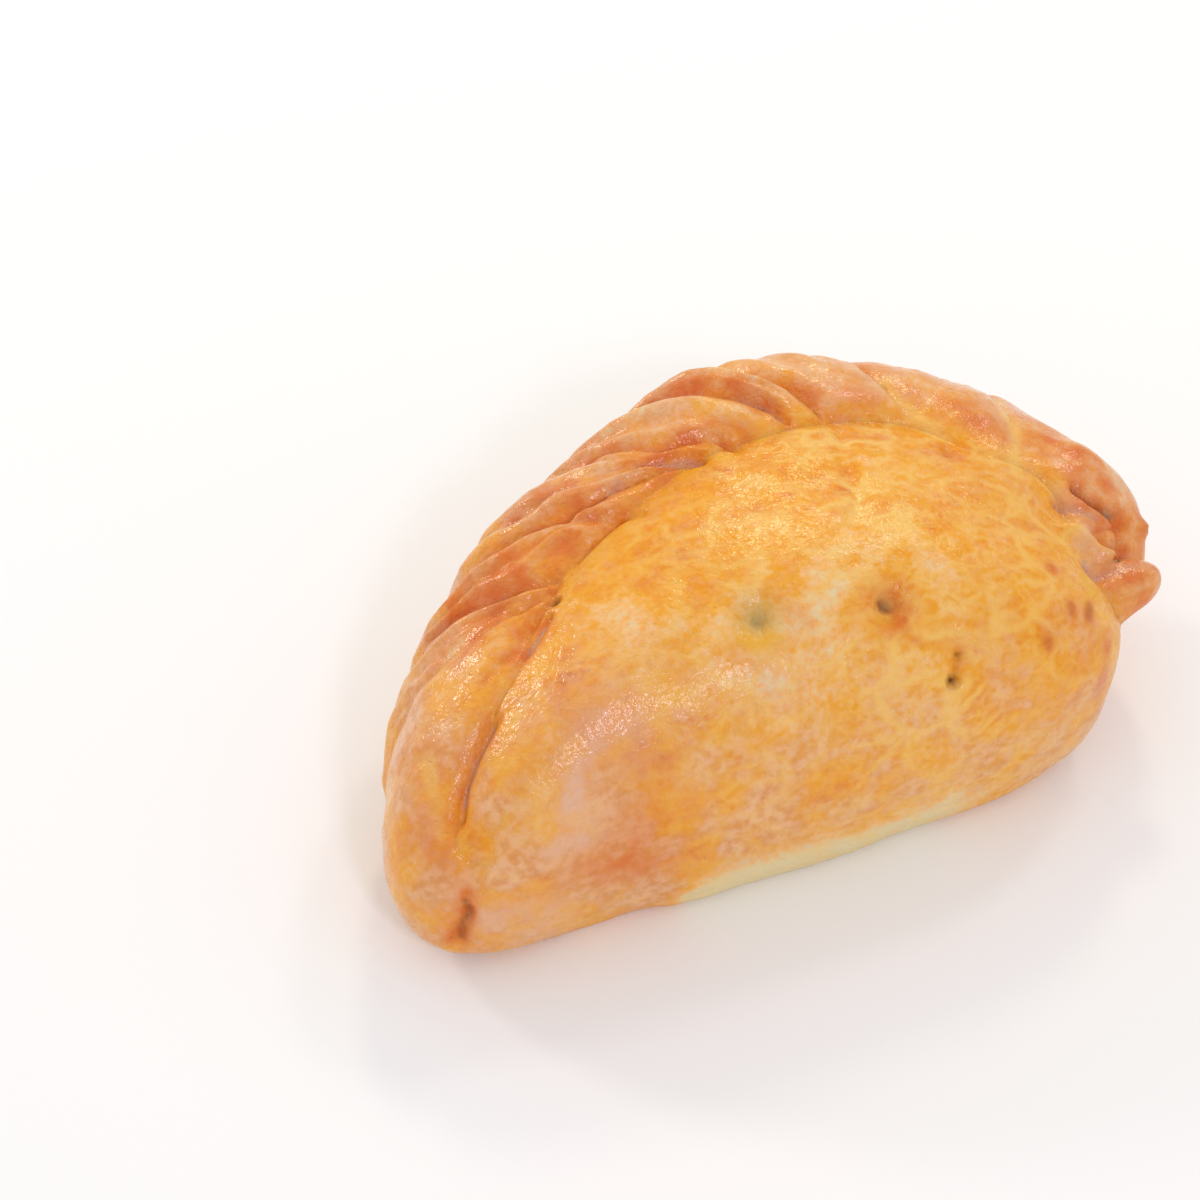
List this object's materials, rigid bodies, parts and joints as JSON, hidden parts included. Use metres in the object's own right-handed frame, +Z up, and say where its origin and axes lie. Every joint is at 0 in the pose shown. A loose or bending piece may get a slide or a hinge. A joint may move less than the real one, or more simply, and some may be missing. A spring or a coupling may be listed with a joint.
{
  "type": "chicken empanada",
  "caption": "Baked half-moon pastry folded over a filling, with a rope-like crimped rim, steam vents and a flat underside.",
  "frame": {"origin": "centre of the bounding box's underside, on the surface the pastry rests on", "axes": "+X along the length towards the knob at the end of the crimp, +Y towards the crimped rim, +Z up"},
  "size_m": [0.1356, 0.0746, 0.0491],
  "materials": {
    "crust": "baked pastry crust, golden to red-brown, with the broken gloss of egg wash"
  },
  "bodies": {
    "root": {"pastry": "crust"}
  },
  "joints": []
}
